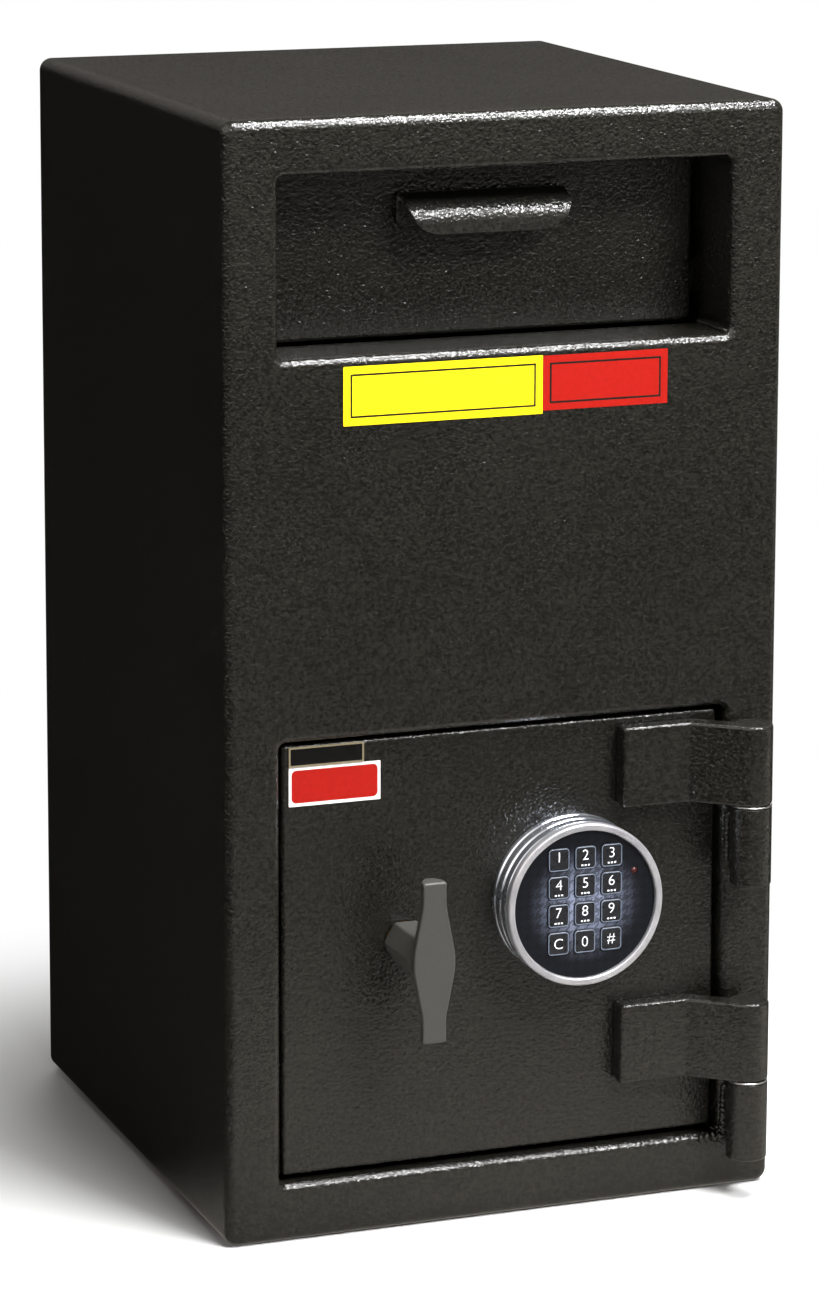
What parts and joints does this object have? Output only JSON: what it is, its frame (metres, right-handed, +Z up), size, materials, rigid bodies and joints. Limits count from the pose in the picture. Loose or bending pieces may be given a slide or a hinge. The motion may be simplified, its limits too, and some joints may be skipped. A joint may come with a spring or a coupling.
{
  "type": "drop safe with deposit drawer",
  "caption": "Upright steel drop safe: a recessed deposit drawer with a cam-driven baffle above a hinged vault door with a round keypad, a T-handle and sliding bolts.",
  "frame": {"origin": "centre of the footprint on the floor", "axes": "+X to the right as seen from the front, +Y from the front to the back, +Z up"},
  "size_m": [0.36, 0.426, 0.686],
  "materials": {
    "black_powder_coat": "textured semi-gloss",
    "grey_handle_paint": "satin",
    "bright_chrome": "polished",
    "dark_plastic": "fine matt",
    "key_plastic": "fine matt",
    "red_lens": "gloss",
    "bare_steel": "machined",
    "zinc_plate": "zinc plated",
    "brass": "machined",
    "lock_casting": "as cast"
  },
  "bodies": {
    "safe_body": {"back_panel": "black_powder_coat", "body_wrapper": "black_powder_coat", "cam_plate": "zinc_plate", "chute_plate": "black_powder_coat", "drawer_sleeve": "black_powder_coat", "floor_plate": "black_powder_coat", "front_frame": "black_powder_coat", "guard_plate": "black_powder_coat", "hinge_barrel_lower": "black_powder_coat", "hinge_barrel_upper": "black_powder_coat", "hinge_pin_lower": "bare_steel", "hinge_pin_upper": "bare_steel", "hinge_washer_lower": "bare_steel", "hinge_washer_upper": "bare_steel", "rail_left": "zinc_plate", "rail_right": "zinc_plate"},
    "baffle": {"baffle_crank": "zinc_plate", "baffle_flap": "zinc_plate", "baffle_rod": "bare_steel", "cam_roller": "brass"},
    "boltwork": {"bolt_carriage": "zinc_plate", "locking_bolt_lower": "bare_steel", "locking_bolt_upper": "bare_steel"},
    "door": {"bolt_guide": "bare_steel", "carriage_stud_lower": "zinc_plate", "carriage_stud_upper": "zinc_plate", "dead_bar": "bare_steel", "door_plate": "black_powder_coat", "handle_bush": "brass", "hinge_leaf_lower": "black_powder_coat", "hinge_leaf_upper": "black_powder_coat", "keypad_base": "bright_chrome", "keypad_bezel": "bright_chrome", "keypad_face": "dark_plastic", "lock_case": "lock_casting", "lock_pivot_pin": "bare_steel", "status_lamp": "red_lens"},
    "handle": {"crank_pin": "bare_steel", "handle_spindle": "bare_steel", "spindle_crank": "zinc_plate", "t_handle": "grey_handle_paint"},
    "drawer": {"drawer_front": "black_powder_coat", "drawer_pull": "black_powder_coat", "drawer_tray": "black_powder_coat", "runner_left": "zinc_plate", "runner_right": "zinc_plate"},
    "key_0": {"key_0": "key_plastic"},
    "key_1": {"key_1": "key_plastic"},
    "key_2": {"key_2": "key_plastic"},
    "key_3": {"key_3": "key_plastic"},
    "key_4": {"key_4": "key_plastic"},
    "key_5": {"key_5": "key_plastic"},
    "key_6": {"key_6": "key_plastic"},
    "key_7": {"key_7": "key_plastic"},
    "key_8": {"key_8": "key_plastic"},
    "key_9": {"key_9": "key_plastic"},
    "key_c": {"key_c": "key_plastic"},
    "key_hash": {"key_hash": "key_plastic"},
    "lock_bolt": {"swing_bolt": "brass"}
  },
  "joints": [
    {"name": "door_hinge", "type": "hinge", "parent": "safe_body", "child": "door", "pos_m": [0.155, -0.21, 0.158], "axis": [0, 0, 1], "range_deg": [0, 180]},
    {"name": "handle_turn", "type": "hinge", "parent": "door", "child": "handle", "pos_m": [-0.0635, -0.1835, 0.1805], "axis": [0, -1, 0], "range_deg": [0, 90]},
    {"name": "bolt_slide", "type": "slide", "parent": "door", "child": "boltwork", "axis": [-1, 0, 0], "range_m": [0, 0.024]},
    {"name": "lock_bolt_swing", "type": "hinge", "parent": "door", "child": "lock_bolt", "pos_m": [0.014, -0.15, 0.168], "axis": [0, -1, 0], "range_deg": [0, 60]},
    {"name": "drawer_slide", "type": "slide", "parent": "safe_body", "child": "drawer", "axis": [0, -1, 0], "range_m": [0, 0.13]},
    {"name": "baffle_swing", "type": "hinge", "parent": "drawer", "child": "baffle", "pos_m": [0, 0.003, 0.64], "axis": [-1, 0, 0], "range_deg": [0, 60]},
    {"name": "key_0_press", "type": "slide", "parent": "door", "child": "key_0", "axis": [0, 1, 0], "range_m": [0, 0.0008], "stiffness_N_per_m": 1800},
    {"name": "key_1_press", "type": "slide", "parent": "door", "child": "key_1", "axis": [0, 1, 0], "range_m": [0, 0.0008], "stiffness_N_per_m": 1800},
    {"name": "key_2_press", "type": "slide", "parent": "door", "child": "key_2", "axis": [0, 1, 0], "range_m": [0, 0.0008], "stiffness_N_per_m": 1800},
    {"name": "key_3_press", "type": "slide", "parent": "door", "child": "key_3", "axis": [0, 1, 0], "range_m": [0, 0.0008], "stiffness_N_per_m": 1800},
    {"name": "key_4_press", "type": "slide", "parent": "door", "child": "key_4", "axis": [0, 1, 0], "range_m": [0, 0.0008], "stiffness_N_per_m": 1800},
    {"name": "key_5_press", "type": "slide", "parent": "door", "child": "key_5", "axis": [0, 1, 0], "range_m": [0, 0.0008], "stiffness_N_per_m": 1800},
    {"name": "key_6_press", "type": "slide", "parent": "door", "child": "key_6", "axis": [0, 1, 0], "range_m": [0, 0.0008], "stiffness_N_per_m": 1800},
    {"name": "key_7_press", "type": "slide", "parent": "door", "child": "key_7", "axis": [0, 1, 0], "range_m": [0, 0.0008], "stiffness_N_per_m": 1800},
    {"name": "key_8_press", "type": "slide", "parent": "door", "child": "key_8", "axis": [0, 1, 0], "range_m": [0, 0.0008], "stiffness_N_per_m": 1800},
    {"name": "key_9_press", "type": "slide", "parent": "door", "child": "key_9", "axis": [0, 1, 0], "range_m": [0, 0.0008], "stiffness_N_per_m": 1800},
    {"name": "key_c_press", "type": "slide", "parent": "door", "child": "key_c", "axis": [0, 1, 0], "range_m": [0, 0.0008], "stiffness_N_per_m": 1800},
    {"name": "key_hash_press", "type": "slide", "parent": "door", "child": "key_hash", "axis": [0, 1, 0], "range_m": [0, 0.0008], "stiffness_N_per_m": 1800}
  ],
  "couplings": [
    {"joint": "bolt_slide", "follows": "handle_turn", "m_per_rad": 0.015278},
    {"joint": "lock_bolt_swing", "follows": "handle_turn", "ratio": 0.6666},
    {"joint": "baffle_swing", "follows": "drawer_slide", "rad_per_m": 8.0553}
  ]
}
